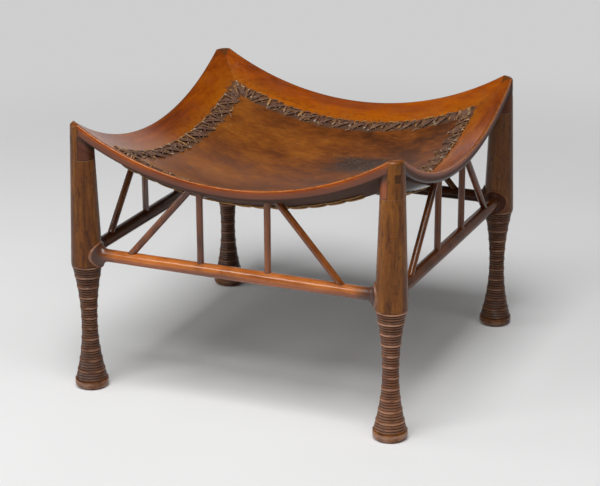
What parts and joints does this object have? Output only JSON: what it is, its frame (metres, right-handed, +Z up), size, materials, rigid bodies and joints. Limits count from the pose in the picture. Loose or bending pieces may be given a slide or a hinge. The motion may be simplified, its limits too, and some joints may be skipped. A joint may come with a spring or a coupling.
{
  "type": "stool",
  "caption": "Low square wooden stool with ring-turned legs, braced stretchers and a dished, mitred seat frame holding a laced leather panel.",
  "frame": {"origin": "on the floor, under the middle of the seat", "axes": "+Z up, -Y towards the front, +X to the right; the four sides are alike"},
  "size_m": [0.442, 0.442, 0.342],
  "materials": {
    "turned_wood": "polished dark reddish-brown wood",
    "seat_wood": "polished orange-brown wood",
    "peg_wood": "dark end grain",
    "seat_leather": "worn, polished brown leather",
    "thong": "dark flat leather thong"
  },
  "bodies": {
    "root": {"back_side_brace_left": "turned_wood", "back_side_brace_right": "turned_wood", "back_side_upright_left": "turned_wood", "back_side_upright_right": "turned_wood", "corner_peg_back_left": "peg_wood", "corner_peg_back_right": "peg_wood", "corner_peg_front_left": "peg_wood", "corner_peg_front_right": "peg_wood", "front_side_brace_left": "turned_wood", "front_side_brace_right": "turned_wood", "front_side_upright_left": "turned_wood", "front_side_upright_right": "turned_wood", "lacing_back": "thong", "lacing_front": "thong", "lacing_left": "thong", "lacing_right": "thong", "leather_seat": "seat_leather", "left_side_brace_left": "turned_wood", "left_side_brace_right": "turned_wood", "left_side_upright_left": "turned_wood", "left_side_upright_right": "turned_wood", "leg_back_left": "turned_wood", "leg_back_right": "turned_wood", "leg_front_left": "turned_wood", "leg_front_right": "turned_wood", "right_side_brace_left": "turned_wood", "right_side_brace_right": "turned_wood", "right_side_upright_left": "turned_wood", "right_side_upright_right": "turned_wood", "seat_rail_back": "seat_wood", "seat_rail_front": "seat_wood", "seat_rail_left": "seat_wood", "seat_rail_right": "seat_wood", "stretcher_back": "turned_wood", "stretcher_front": "turned_wood", "stretcher_left": "turned_wood", "stretcher_right": "turned_wood"}
  },
  "joints": []
}
